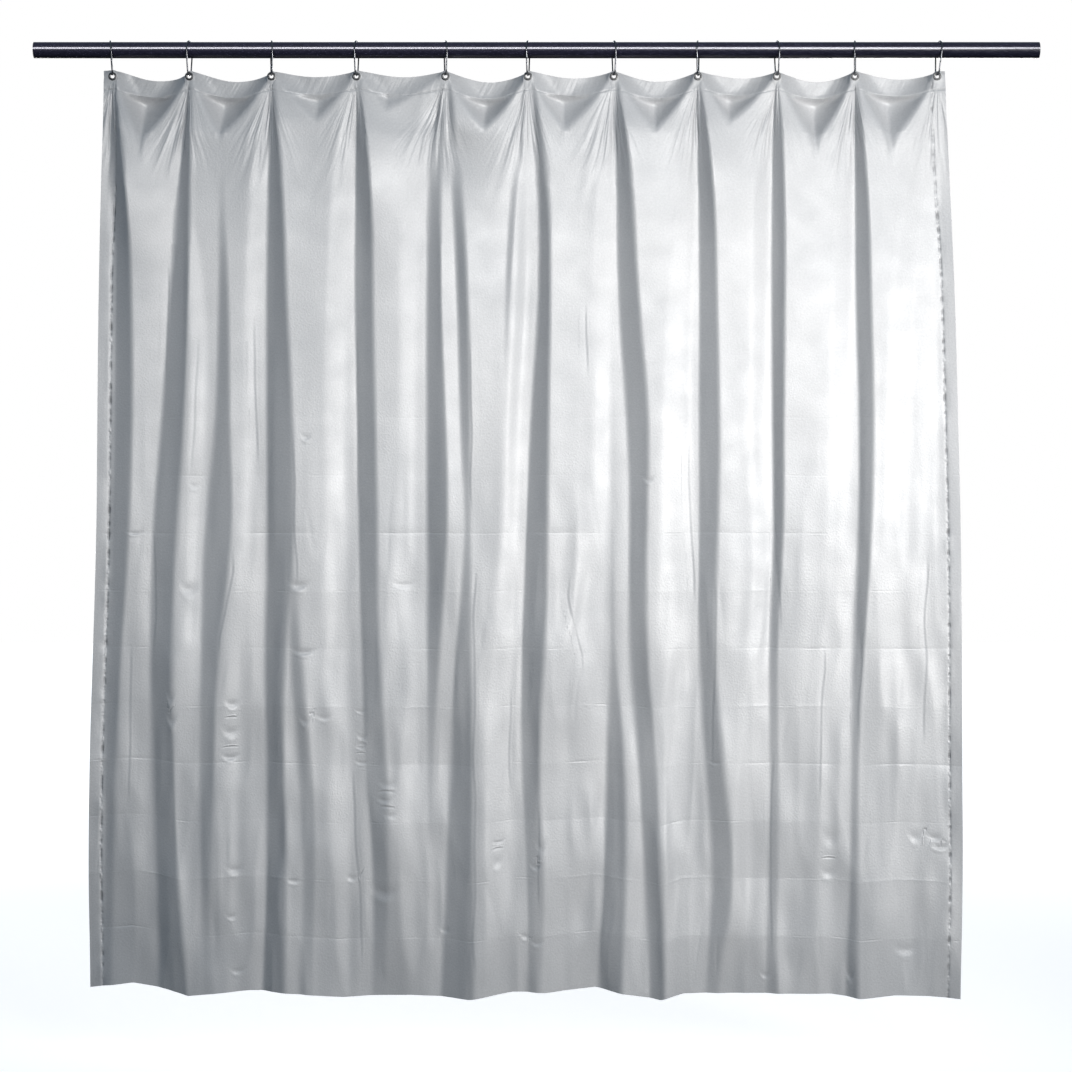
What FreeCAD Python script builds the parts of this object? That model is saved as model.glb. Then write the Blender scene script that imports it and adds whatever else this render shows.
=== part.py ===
import FreeCAD, Part
import math
import os
import Sketcher

# A shower curtain: one vinyl sheet with its top and side edges folded back and seamed, hung by
# metal eyelets from wire rings on a plain round rod.
# Millimetres. X runs along the rod to the right, Y away from the viewer, Z up.
# The origin is the middle of the rod, on its axis.

V = FreeCAD.Vector
SPANS = 10  # stretches of cloth between neighbouring rings, so there is one ring more

# Driving dimensions: alias, value, meaning.
DRIVING = [
    ("rod_diameter", 31.75, "outside diameter of the rod"),
    ("rod_wall", 1.2, "wall of the rod's tube"),
    ("left_overhang", 155.3, "rod beyond the first eyelet"),
    ("right_overhang", 201.4, "rod beyond the last eyelet"),
    ("sheet_width", 1829, "flat width the curtain was cut to"),
    ("sheet_drop", 1829, "height of the curtain"),
    ("sheet_thickness", 0.25, "thickness of the vinyl"),
    ("top_hem_height", 38, "depth of the hem folded back along the top"),
    ("side_hem_width", 25, "width of the hems folded back along the sides"),
    ("layer_gap", 0.15, "play between neighbouring layers"),
    ("eyelet_from_top", 12.7, "eyelet centre below the top edge"),
    ("eyelet_from_side", 14, "first and last eyelet centre from the side edge"),
    ("seat_width", 24, "flat stretch of cloth round each eyelet"),
    ("crest_width", 40, "flat stretch on the crest of each fold"),
    ("bottom_spread", 64, "how much wider the curtain hangs at the bottom"),
    ("wire_diameter", 2.8, "wire of the rings"),
    ("ring_height", 70.2, "a ring's height over its wire"),
    ("ring_bottom_radius", 12, "middle of the wire, at the eyelet"),
    ("rod_clearance", 0.3, "between a ring and the top of the rod"),
    ("rod_side_play", 1.725, "between the bend of a ring and the sides of the rod"),
    ("clasp_diameter", 4.6, "outside of the clasp"),
    ("clasp_grip", 3, "length of the clasp on the fixed end of the wire"),
    ("clasp_socket", 6, "depth of the clasp's socket for the free end"),
    ("clasp_play", 0.2, "round the free end in its socket"),
    ("clasp_height", 22, "fixed end of the wire above the bottom bend's centre"),
    ("wire_gap", 1.5, "between the two ends of the wire"),
    ("eyelet_hole", 8, "hole through an eyelet"),
    ("eyelet_wall", 0.5, "wall of an eyelet's barrel"),
    ("eyelet_flange", 16.5, "outside diameter of an eyelet and its washer"),
    ("eyelet_rim", 0.35, "thickness of the flange at its rim"),
    ("eyelet_crown", 0.7, "height of the flange's crown above its rim"),
    ("eyelet_lip", 12, "diameter of the lip rolled over the washer"),
    ("lip_thickness", 0.5, "thickness of the rolled lip"),
    ("lip_play", 0.05, "between the rolled lip and the washer"),
    ("washer_thickness", 0.5, "thickness of the washer"),
    ("washer_rounding", 0.3, "rounding of the washer's back rim"),
    ("washer_play", 0.1, "round the barrel in the washer's hole"),
    ("cloth_play", 0.3, "round the barrel in the hole in the cloth"),
    ("hang_clearance", 0.7, "between a ring's wire and the top of the eyelet's hole"),
]

# How much longer the cloth is than the gap between the two rings that carry it, ring by ring:
# the rings stand where a hand left them.
SLACK = [0.186, 0.108, 0.071, 0.023, 0.104, 0.059, 0.084, 0.152, 0.167, 0.108]

RING_YAW = 10.0  # degrees that each ring hangs turned about the vertical, by turns either way
END_RING_LEAN = 4.0  # degrees that the cloth pulls the two end rings over

doc = FreeCAD.newDocument("ShowerCurtain")
sheet = doc.addObject("Spreadsheet::Sheet", "Sizes")
for row, (alias, number, meaning) in enumerate(
    DRIVING + [(f"slack_{n:02d}", s, "spare cloth in one span") for n, s in enumerate(SLACK, 1)], 1
):
    sheet.set(f"A{row}", meaning)
    sheet.set(f"B{row}", str(number))
    sheet.setAlias(f"B{row}", alias)
doc.recompute()


def size(alias):
    return float(sheet.get(alias))


# Formulas in the sheet's cells, which the pieces share.
PITCH = f"((Sizes.sheet_width - 2 * Sizes.eyelet_from_side) / {SPANS})"


def run_of_spans(first, last):
    """The hung length of the spans from first to last, as a formula."""
    spans = [f"{PITCH} / (1 + Sizes.slack_{n:02d})" for n in range(first, last + 1)]
    return "(" + " + ".join(spans or ["0"]) + ")"


ROD_LENGTH = f"(Sizes.left_overhang + Sizes.right_overhang + {run_of_spans(1, SPANS)})"
RING_TOP = "(Sizes.rod_diameter / 2 + Sizes.rod_clearance + Sizes.wire_diameter)"
TOP_RADIUS = "(Sizes.rod_diameter / 2 + Sizes.rod_side_play + Sizes.wire_diameter / 2)"
BOTTOM_BEND = (
    f"({RING_TOP} - Sizes.ring_height + Sizes.wire_diameter / 2 + Sizes.ring_bottom_radius)"
)
BEND_SPACING = (
    f"(Sizes.ring_height - Sizes.wire_diameter - {TOP_RADIUS} - Sizes.ring_bottom_radius)"
)
EYELET_HEIGHT = (
    f"({BOTTOM_BEND} - Sizes.ring_bottom_radius + Sizes.wire_diameter / 2"
    " + Sizes.hang_clearance - Sizes.eyelet_hole / 2)"
)
# From the middle of the sheet's thickness, towards the viewer and away from it.
FRONT_SEAT = "(Sizes.sheet_thickness / 2 + Sizes.layer_gap)"
BACK_SEAT = "(Sizes.sheet_thickness * 3 / 2 + 2 * Sizes.layer_gap)"


def eyelet_x(number):
    """Where an eyelet hangs along the rod, as a formula; the first is number 1."""
    return f"(Sizes.left_overhang - {ROD_LENGTH} / 2 + {run_of_spans(1, number - 1)})"


def work_out(formula):
    """The value of one of the formulas above."""
    probe = doc.addObject("App::FeaturePython", "Probe")
    probe.addProperty("App::PropertyFloat", "Result")
    probe.setExpression("Result", formula)
    doc.recompute()
    result = probe.Result
    doc.removeObject(probe.Name)
    return result


def new_body(label):
    body = doc.addObject("PartDesign::Body", label)
    body.Label = label
    return body


def new_sketch(body, plane, name):
    """A sketch on one of the body's own origin planes."""
    sketch = body.newObject("Sketcher::SketchObject", f"{body.Name}_{name}")
    support = next(f for f in body.Origin.OriginFeatures if f.Role == plane)
    sketch.AttachmentSupport = [(support, "")]
    sketch.MapMode = "FlatFace"
    return sketch


def constrain(sketch, *definition, name=None, formula=None):
    """Adds a constraint, and ties it to a formula where it is a size."""
    index = sketch.addConstraint(Sketcher.Constraint(*definition))
    if name:
        sketch.renameConstraint(index, name)
        sketch.setExpression(f"Constraints.{name}", formula)


ORIGIN = (-1, 1)
VERTICAL_AXIS = -2
START, END, CENTRE = 1, 2, 3  # a sketch element's own points


def make_rod():
    """A plain tube, cut square."""
    body = new_body("rod")
    section = new_sketch(body, "YZ_Plane", "section")
    outside = size("rod_diameter") / 2
    for name, radius, formula in (
        ("outside", outside, "Sizes.rod_diameter / 2"),
        ("bore", outside - size("rod_wall"), "Sizes.rod_diameter / 2 - Sizes.rod_wall"),
    ):
        circle = section.addGeometry(Part.Circle(V(0, 0, 0), V(0, 0, 1), radius))
        constrain(section, "Coincident", circle, CENTRE, *ORIGIN)
        constrain(section, "Radius", circle, radius, name=name, formula=formula)
    tube = body.newObject("PartDesign::Pad", "rod_tube")
    tube.Profile = section
    tube.SideType = "Symmetric"
    tube.setExpression("Length", ROD_LENGTH)
    return body


def draw_ring_path(path):
    """The middle line of a ring's wire: a pear, open at the clasp on its front leg.

    The sketch's origin is the centre of the bottom bend.
    """
    top = work_out(TOP_RADIUS)
    bottom = size("ring_bottom_radius")
    spacing = work_out(BEND_SPACING)
    slope = math.asin((top - bottom) / spacing)
    out = V(math.cos(slope), -math.sin(slope), 0)  # from either centre to the rear leg
    top_centre = V(0, spacing, 0)
    front = V(-out.x, out.y, 0)
    leg = (top_centre + front * top) - front * bottom
    leg.normalize()
    leg_start = front * bottom
    fixed_end = leg_start + leg * ((size("clasp_height") - leg_start.y) / leg.y)
    free_end = fixed_end + leg * size("wire_gap")
    upright = V(0, 0, 1)

    path.addGeometry(Part.LineSegment(fixed_end, leg_start))
    path.addGeometry(
        Part.ArcOfCircle(Part.Circle(V(0, 0, 0), upright, bottom), math.pi + slope, 2 * math.pi - slope)
    )
    path.addGeometry(Part.LineSegment(out * bottom, top_centre + out * top))
    path.addGeometry(Part.ArcOfCircle(Part.Circle(top_centre, upright, top), -slope, math.pi + slope))
    path.addGeometry(Part.LineSegment(top_centre + front * top, free_end))
    lower_front, low_bend, rear, high_bend, upper_front = range(5)

    constrain(path, "Coincident", low_bend, CENTRE, *ORIGIN)
    constrain(path, "PointOnObject", high_bend, CENTRE, VERTICAL_AXIS)
    constrain(path, "Tangent", lower_front, END, low_bend, START)
    constrain(path, "Tangent", low_bend, END, rear, START)
    constrain(path, "Tangent", rear, END, high_bend, START)
    constrain(path, "Tangent", high_bend, END, upper_front, START)
    constrain(path, "Tangent", lower_front, upper_front)
    constrain(path, "Radius", low_bend, bottom, name="bottom_bend", formula="Sizes.ring_bottom_radius")
    constrain(path, "Radius", high_bend, top, name="top_bend", formula=TOP_RADIUS)
    constrain(path, "DistanceY", *ORIGIN, high_bend, CENTRE, spacing, name="spacing", formula=BEND_SPACING)
    constrain(
        path, "DistanceY", *ORIGIN, lower_front, START, fixed_end.y,
        name="clasp_height", formula="Sizes.clasp_height",
    )
    constrain(
        path, "Distance", lower_front, START, upper_front, END, size("wire_gap"),
        name="gap", formula="Sizes.wire_gap",
    )


def make_ring(number):
    """One springy wire bent to a pear; its free end snaps into a clasp pressed on the fixed end."""
    body = new_body(f"ring_{number:02d}")
    path = new_sketch(body, "YZ_Plane", "path")
    draw_ring_path(path)
    doc.recompute()

    section = body.newObject("Sketcher::SketchObject", f"{body.Name}_section")
    section.AttachmentSupport = [(path, "Edge1")]
    section.MapMode = "NormalToEdge"
    circle = section.addGeometry(Part.Circle(V(0, 0, 0), V(0, 0, 1), size("wire_diameter") / 2))
    constrain(section, "Coincident", circle, CENTRE, *ORIGIN)
    constrain(
        section, "Radius", circle, size("wire_diameter") / 2,
        name="wire", formula="Sizes.wire_diameter / 2",
    )

    clasp = body.newObject("PartDesign::AdditiveCylinder", f"{body.Name}_clasp")
    clasp.setExpression("Radius", "Sizes.clasp_diameter / 2")
    clasp.setExpression("Height", "Sizes.clasp_grip + Sizes.clasp_socket")
    socket = body.newObject("PartDesign::SubtractiveCylinder", f"{body.Name}_socket")
    socket.setExpression("Radius", "Sizes.wire_diameter / 2 + Sizes.clasp_play")
    socket.setExpression("Height", "Sizes.clasp_socket")
    for feature, start in ((clasp, "-Sizes.clasp_grip"), (socket, "0")):
        feature.AttachmentSupport = [(section, "")]
        feature.MapMode = "FlatFace"
        feature.setExpression("AttachmentOffset.Base.z", start)
    doc.recompute()

    wire = body.newObject("PartDesign::AdditivePipe", f"{body.Name}_wire")
    wire.Profile = section
    wire.Spine = (path, [f"Edge{n}" for n in range(1, 6)])

    lean = {1: -END_RING_LEAN, SPANS + 1: END_RING_LEAN}.get(number, 0.0)
    yaw = RING_YAW if number % 2 else -RING_YAW
    # a ring that leans is lifted, so that it rests on the rod as the upright ones do, and its
    # lowest point stays in the middle of the eyelet
    to_top = work_out(BEND_SPACING) + work_out(TOP_RADIUS)
    lift = to_top * (1 - math.cos(math.radians(lean)))
    aside = size("ring_bottom_radius") * math.sin(math.radians(lean))
    body.Placement = FreeCAD.Placement(
        V(work_out(eyelet_x(number)) + aside, 0, work_out(BOTTOM_BEND) + lift),
        FreeCAD.Rotation(V(0, 1, 0), lean) * FreeCAD.Rotation(V(0, 0, 1), yaw),
    )
    return body


def face_viewer(body, number, forward):
    """Turns a piece drawn along +Z to face the viewer, and sets it at an eyelet's place."""
    body.Placement = FreeCAD.Placement(
        V(work_out(eyelet_x(number)), -forward, work_out(EYELET_HEIGHT)),
        FreeCAD.Rotation(V(1, 0, 0), 90),
    )


def make_eyelet(number):
    """The front half: a crowned flange, a barrel through the cloth and a lip rolled over the washer."""
    body = new_body(f"eyelet_{number:02d}")
    hole = size("eyelet_hole") / 2
    barrel = hole + size("eyelet_wall")
    lip = size("eyelet_lip") / 2
    flange = size("eyelet_flange") / 2
    rim = size("eyelet_rim")
    crown = size("eyelet_crown")
    depth_formula = (
        f"{FRONT_SEAT} + {BACK_SEAT} + Sizes.washer_thickness + Sizes.lip_play + Sizes.lip_thickness"
    )
    depth = work_out(depth_formula)
    lip_top = size("lip_thickness") - depth
    crown_radius = (flange - hole) ** 2 / (8 * crown) + crown / 2

    section = new_sketch(body, "XZ_Plane", "section")
    corners = [
        V(hole, rim, 0),
        V(hole, -depth, 0),
        V(lip, -depth, 0),
        V(lip, lip_top, 0),
        V(barrel, lip_top, 0),
        V(barrel, 0, 0),
        V(flange, 0, 0),
        V(flange, rim, 0),
    ]
    for start, end in zip(corners, corners[1:]):
        section.addGeometry(Part.LineSegment(start, end))
    bore_line, base, lip_side, lip_back, barrel_side, flange_back, rim_side = range(7)
    crest = V((hole + flange) / 2, rim + crown, 0)
    arc = section.addGeometry(Part.Arc(corners[-1], crest, corners[0]))
    for line in range(bore_line, rim_side):
        constrain(section, "Coincident", line, END, line + 1, START)
    constrain(section, "Coincident", rim_side, END, arc, START)
    constrain(section, "Coincident", arc, END, bore_line, START)
    for line in (bore_line, lip_side, barrel_side, rim_side):
        constrain(section, "Vertical", line)
    for line in (base, lip_back, flange_back):
        constrain(section, "Horizontal", line)
    constrain(section, "PointOnObject", flange_back, START, -1)
    constrain(section, "Horizontal", rim_side, END, bore_line, START)
    for name, line, value, formula in (
        ("hole", bore_line, hole, "Sizes.eyelet_hole / 2"),
        ("lip", lip_side, lip, "Sizes.eyelet_lip / 2"),
        ("barrel", barrel_side, barrel, "Sizes.eyelet_hole / 2 + Sizes.eyelet_wall"),
        ("flange", rim_side, flange, "Sizes.eyelet_flange / 2"),
    ):
        constrain(section, "DistanceX", *ORIGIN, line, START, value, name=name, formula=formula)
    constrain(
        section, "DistanceY", rim_side, START, rim_side, END, rim, name="rim", formula="Sizes.eyelet_rim"
    )
    constrain(
        section, "DistanceY", base, START, flange_back, START, depth, name="depth", formula=depth_formula
    )
    constrain(
        section, "DistanceY", lip_side, START, lip_side, END, size("lip_thickness"),
        name="lip_thickness", formula="Sizes.lip_thickness",
    )
    chord = "(Sizes.eyelet_flange - Sizes.eyelet_hole) / 2"
    constrain(
        section, "Radius", arc, crown_radius,
        name="crown",
        formula=f"({chord}) * ({chord}) / (8 * Sizes.eyelet_crown) + Sizes.eyelet_crown / 2",
    )

    turned = body.newObject("PartDesign::Revolution", f"{body.Name}_turned")
    turned.Profile = section
    turned.ReferenceAxis = (section, ["V_Axis"])
    turned.Angle = 360
    face_viewer(body, number, work_out(FRONT_SEAT))
    return body


def make_washer(number):
    """The back half of an eyelet: a flat ring with a rounded rim, held by the rolled lip."""
    body = new_body(f"washer_{number:02d}")
    hole_formula = "Sizes.eyelet_hole / 2 + Sizes.eyelet_wall + Sizes.washer_play"
    section = new_sketch(body, "XY_Plane", "section")
    for name, formula in (("hole", hole_formula), ("rim", "Sizes.eyelet_flange / 2")):
        radius = work_out(formula)
        circle = section.addGeometry(Part.Circle(V(0, 0, 0), V(0, 0, 1), radius))
        constrain(section, "Coincident", circle, CENTRE, *ORIGIN)
        constrain(section, "Radius", circle, radius, name=name, formula=formula)
    disc = body.newObject("PartDesign::Pad", f"{body.Name}_disc")
    disc.Profile = section
    disc.setExpression("Length", "Sizes.washer_thickness")
    disc.Reversed = True
    doc.recompute()
    back_rim = [
        f"Edge{n}"
        for n, edge in enumerate(disc.Shape.Edges, 1)
        if isinstance(edge.Curve, Part.Circle)
        and math.isclose(edge.Curve.Radius, size("eyelet_flange") / 2)
        and edge.Curve.Center.z < -size("washer_thickness") / 2
    ]
    rounding = body.newObject("PartDesign::Fillet", f"{body.Name}_rounding")
    rounding.Base = (disc, back_rim)
    rounding.setExpression("Radius", "Sizes.washer_rounding")
    face_viewer(body, number, -work_out(BACK_SEAT))
    return body


def fold_line():
    """The hung curtain's line seen from above, at its top edge: (x, y) corners from left to right.

    Each span leaves its eyelet's flat seat, slopes to a crest and comes back, by turns towards
    the viewer and away, and the cloth along it is as long as the flat distance between eyelets.
    """
    seat = size("seat_width") / 2
    crest = size("crest_width") / 2
    slope_length = work_out(PITCH) / 2 - seat - crest
    xs = [work_out(eyelet_x(n)) for n in range(1, SPANS + 2)]
    line = [(xs[0] - size("eyelet_from_side"), 0.0)]
    for n, (left, right) in enumerate(zip(xs, xs[1:])):
        middle = (left + right) / 2
        reach = (right - left) / 2 - seat - crest
        depth = math.sqrt(slope_length**2 - reach**2) * (1 if n % 2 else -1)
        line += [(left + seat, 0.0), (middle - crest, depth), (middle + crest, depth), (right - seat, 0.0)]
    line.append((xs[-1] + size("eyelet_from_side"), 0.0))
    return line


def layer(line, offset):
    """The line moved sideways by offset, away from the viewer where that is positive."""
    moved = []
    for n, (x, y) in enumerate(line):
        before = line[max(n - 1, 0)]
        after = line[min(n + 1, len(line) - 1)]
        normals = []
        for (ax, ay), (bx, by) in ((before, (x, y)), ((x, y), after)):
            length = math.hypot(bx - ax, by - ay)
            if length:
                normals.append(((ay - by) / length, (bx - ax) / length))
        nx = sum(normal[0] for normal in normals) / len(normals)
        ny = sum(normal[1] for normal in normals) / len(normals)
        stretch = offset / (nx * nx + ny * ny)
        moved.append((x + nx * stretch, y + ny * stretch))
    return moved


def part_of_line(line, left, right):
    """The corners of the line between two places along the rod, where it is flat at both."""
    return [(left, 0.0)] + [(x, y) for x, y in line if left < x < right] + [(right, 0.0)]


def make_cloth(label, line, offset, high, low, holes):
    """A plate of cloth along the line between two depths below the top edge.

    It widens evenly towards the bottom, so every face stays flat.
    """
    half = size("sheet_thickness") / 2
    top_z = work_out(EYELET_HEIGHT) + size("eyelet_from_top")
    whole = fold_line()
    middle_x = (whole[0][0] + whole[-1][0]) / 2
    spread = size("bottom_spread") / (whole[-1][0] - whole[0][0])

    def corners(side, drop):
        scale = 1 + spread * drop / size("sheet_drop")
        return [
            V(middle_x + (x - middle_x) * scale, y * scale, top_z - drop)
            for x, y in layer(line, offset + side)
        ]

    rims = [corners(-half, high), corners(half, high), corners(half, low), corners(-half, low)]
    faces = []
    for one, other in zip(rims, rims[1:] + rims[:1]):
        if one[0].z == other[0].z:  # the top or bottom edge of the plate
            outline = one + other[::-1]
            faces.append(Part.Face(Part.makePolygon(outline + outline[:1])))
            continue
        for n in range(len(one) - 1):
            outline = [one[n], one[n + 1], other[n + 1], other[n]]
            faces.append(Part.Face(Part.makePolygon(outline + outline[:1])))
    for end in (0, -1):
        outline = [rim[end] for rim in rims]
        faces.append(Part.Face(Part.makePolygon(outline + outline[:1])))
    shell = Part.Shell(faces)
    shell.sewShape()
    solid = Part.Solid(shell)
    if solid.Volume < 0:
        solid.reverse()

    hole_radius = size("eyelet_hole") / 2 + size("eyelet_wall") + size("cloth_play")
    reach = size("seat_width")
    for number in holes:
        centre = V(work_out(eyelet_x(number)), -reach, work_out(EYELET_HEIGHT))
        solid = solid.cut(Part.makeCylinder(hole_radius, 2 * reach, centre, V(0, 1, 0)))
    cloth = doc.addObject("Part::Feature", label)
    cloth.Label = label
    cloth.Shape = solid.Solids[0]
    cloth.Placement = FreeCAD.Placement()
    return cloth


def make_curtain():
    """The sheet, and behind it the layers folded back along its top and its sides."""
    line = fold_line()
    left = line[0][0]
    right = line[-1][0]
    drop = size("sheet_drop")
    top_hem = size("top_hem_height")
    side_hem = size("side_hem_width")
    behind = size("sheet_thickness") + size("layer_gap")
    below_top_hem = top_hem + size("layer_gap")
    every_eyelet = range(1, SPANS + 2)
    return [
        make_cloth("curtain_sheet", line, 0, 0, drop, every_eyelet),
        make_cloth("top_hem", line, behind, 0, top_hem, every_eyelet),
        make_cloth("left_hem", part_of_line(line, left, left + side_hem), behind, below_top_hem, drop, ()),
        make_cloth("right_hem", part_of_line(line, right - side_hem, right), behind, below_top_hem, drop, ()),
    ]


pieces = [make_rod()]
for ring_number in range(1, SPANS + 2):
    pieces.append(make_ring(ring_number))
    pieces.append(make_eyelet(ring_number))
    pieces.append(make_washer(ring_number))
pieces += make_curtain()
doc.recompute()

for thing in doc.Objects:
    if {"Invalid", "Error"} & set(thing.State):
        raise RuntimeError(f"{thing.Label} didn't build: {thing.State}")
for piece in pieces:
    if piece.Shape.isNull() or not piece.Shape.isValid() or len(piece.Shape.Solids) != 1:
        raise RuntimeError(f"{piece.Label} isn't one valid solid")

os.makedirs("parts", exist_ok=True)
for piece in pieces:
    piece.Shape.exportStep(f"parts/{piece.Label}.step")
    print(f"{piece.Label}: {piece.Shape.Volume:.2f} mm3")
print(f"rod length {work_out(ROD_LENGTH):.2f}")
print(f"bottom bend {work_out(BOTTOM_BEND):.3f}, eyelet {work_out(EYELET_HEIGHT):.3f}")
print("eyelets at", [round(work_out(eyelet_x(n)), 3) for n in range(1, SPANS + 2)])
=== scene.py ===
import math

import bmesh
import bpy
import numpy as np
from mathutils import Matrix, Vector


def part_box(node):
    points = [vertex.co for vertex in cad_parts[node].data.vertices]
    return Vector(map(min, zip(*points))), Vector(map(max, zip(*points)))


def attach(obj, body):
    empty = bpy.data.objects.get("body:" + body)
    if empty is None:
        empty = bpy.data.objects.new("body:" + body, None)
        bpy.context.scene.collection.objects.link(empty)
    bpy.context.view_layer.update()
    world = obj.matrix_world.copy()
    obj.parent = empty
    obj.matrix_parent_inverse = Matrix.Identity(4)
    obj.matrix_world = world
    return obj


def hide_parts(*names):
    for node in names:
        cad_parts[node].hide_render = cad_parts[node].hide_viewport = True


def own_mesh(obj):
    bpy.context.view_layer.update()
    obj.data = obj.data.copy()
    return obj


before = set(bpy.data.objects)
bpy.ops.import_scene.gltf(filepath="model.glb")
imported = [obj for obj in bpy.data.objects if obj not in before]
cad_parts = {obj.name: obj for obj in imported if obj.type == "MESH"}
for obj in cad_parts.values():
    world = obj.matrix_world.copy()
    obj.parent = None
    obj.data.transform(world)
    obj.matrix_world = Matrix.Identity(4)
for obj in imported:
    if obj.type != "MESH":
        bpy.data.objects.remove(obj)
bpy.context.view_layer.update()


# ---------------------------------------------------------------------------------------------
# Rod: a plain steel tube with a gloss black lacquer, which has a faint orange peel and a little
# dust in it. It is the fixed part that everything hangs from.

rod_lacquer = bpy.data.materials.new("rod_black_lacquer")
rod_lacquer.use_nodes = True
nodes, links = rod_lacquer.node_tree.nodes, rod_lacquer.node_tree.links
shader = nodes["Principled BSDF"]
shader.inputs["Coat Weight"].default_value = 0.12
shader.inputs["Coat Roughness"].default_value = 0.10
shader.inputs["IOR"].default_value = 1.38
place = nodes.new("ShaderNodeTexCoord")

dust = nodes.new("ShaderNodeTexNoise")
dust.inputs["Scale"].default_value = 260.0
dust.inputs["Detail"].default_value = 4.0
links.new(place.outputs["Object"], dust.inputs["Vector"])
dust_colour = nodes.new("ShaderNodeValToRGB")
dust_colour.color_ramp.elements[0].position = 0.45
dust_colour.color_ramp.elements[0].color = (0.003, 0.003, 0.006, 1)
dust_colour.color_ramp.elements[1].position = 0.85
dust_colour.color_ramp.elements[1].color = (0.008, 0.008, 0.014, 1)
links.new(dust.outputs["Fac"], dust_colour.inputs["Fac"])
links.new(dust_colour.outputs["Color"], shader.inputs["Base Color"])

haze = nodes.new("ShaderNodeMapRange")
haze.inputs["To Min"].default_value = 0.20
haze.inputs["To Max"].default_value = 0.30
links.new(dust.outputs["Fac"], haze.inputs["Value"])
links.new(haze.outputs["Result"], shader.inputs["Roughness"])

orange_peel = nodes.new("ShaderNodeTexNoise")
orange_peel.inputs["Scale"].default_value = 700.0
links.new(place.outputs["Object"], orange_peel.inputs["Vector"])
relief = nodes.new("ShaderNodeBump")
relief.inputs["Strength"].default_value = 0.12
relief.inputs["Distance"].default_value = 0.0002
links.new(orange_peel.outputs["Fac"], relief.inputs["Height"])
links.new(relief.outputs["Normal"], shader.inputs["Normal"])

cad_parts["rod"].data.materials.clear()
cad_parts["rod"].data.materials.append(rod_lacquer)


# ---------------------------------------------------------------------------------------------
# Rings: chromed spring wire bent to a pear, with the free end in a pressed clasp. The plating has
# fine drawing lines, and dull rubbed patches where it slides on the rod.

RINGS = [f"{number:02d}" for number in range(1, 12)]


def plated_metal(name, colour, rubbed_colour, roughness, line_scale, line_depth):
    """Bright plating with drawing lines, and duller patches where it rubs."""
    metal = bpy.data.materials.new(name)
    metal.use_nodes = True
    nodes, links = metal.node_tree.nodes, metal.node_tree.links
    shader = nodes["Principled BSDF"]
    shader.inputs["Metallic"].default_value = 1.0
    place = nodes.new("ShaderNodeTexCoord")
    patches = nodes.new("ShaderNodeTexNoise")
    patches.inputs["Scale"].default_value = 90.0
    patches.inputs["Detail"].default_value = 5.0
    links.new(place.outputs["Object"], patches.inputs["Vector"])
    tint = nodes.new("ShaderNodeValToRGB")
    tint.color_ramp.elements[0].position = 0.35
    tint.color_ramp.elements[0].color = (*colour, 1)
    tint.color_ramp.elements[1].position = 0.75
    tint.color_ramp.elements[1].color = (*rubbed_colour, 1)
    links.new(patches.outputs["Fac"], tint.inputs["Fac"])
    links.new(tint.outputs["Color"], shader.inputs["Base Color"])
    wear = nodes.new("ShaderNodeMapRange")
    wear.inputs["From Min"].default_value = 0.3
    wear.inputs["From Max"].default_value = 0.8
    wear.inputs["To Min"].default_value = roughness
    wear.inputs["To Max"].default_value = roughness + 0.16
    links.new(patches.outputs["Fac"], wear.inputs["Value"])
    links.new(wear.outputs["Result"], shader.inputs["Roughness"])
    lines = nodes.new("ShaderNodeTexNoise")
    lines.inputs["Scale"].default_value = line_scale
    links.new(place.outputs["Object"], lines.inputs["Vector"])
    relief = nodes.new("ShaderNodeBump")
    relief.inputs["Strength"].default_value = 0.2
    relief.inputs["Distance"].default_value = line_depth
    links.new(lines.outputs["Fac"], relief.inputs["Height"])
    links.new(relief.outputs["Normal"], shader.inputs["Normal"])
    return metal


ring_chrome = plated_metal(
    "ring_chrome", (0.20, 0.205, 0.22), (0.11, 0.11, 0.12), 0.16, 1800.0, 0.0001
)
for ring in RINGS:
    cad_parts[f"ring_{ring}"].data.materials.clear()
    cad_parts[f"ring_{ring}"].data.materials.append(ring_chrome)


# ---------------------------------------------------------------------------------------------
# Eyelets and washers: two pressed nickel rings to each hole, rolled together through the sheet.
# They keep a satin finish from the press.

eyelet_nickel = plated_metal(
    "eyelet_nickel", (0.17, 0.17, 0.17), (0.10, 0.10, 0.10), 0.36, 2600.0, 0.00008
)
for ring in RINGS:
    for part in ("eyelet", "washer"):
        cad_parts[f"{part}_{ring}"].data.materials.clear()
        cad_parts[f"{part}_{ring}"].data.materials.append(eyelet_nickel)

eyelet_corners = [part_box(f"eyelet_{ring}") for ring in RINGS]
EYELETS = [(low.x + high.x) / 2 * 1000 for low, high in eyelet_corners]
EYELET_Z = (eyelet_corners[0][0].z + eyelet_corners[0][1].z) / 2 * 1000


# ---------------------------------------------------------------------------------------------
# Curtain sheet: one piece of silvery vinyl, hung from the eyelets and simulated as cloth from
# the folds it was dressed in. The creases it was packed in still show every 4 1/2 inches.
# Lengths here are in millimetres: x from the middle of the rod, depth down from the top edge.

FLAT = 1829.0  # the sheet was cut square
PANEL = FLAT / 16  # between two packing creases
FROM_TOP = 12.7  # eyelet centre below the top edge
FROM_SIDE = 14.0  # first and last eyelet from the side edge
PITCH = (FLAT - 2 * FROM_SIDE) / 10
TOP_HEM = 38.0
SIDE_HEM = 25.0
TOP_Z = EYELET_Z + FROM_TOP

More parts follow.
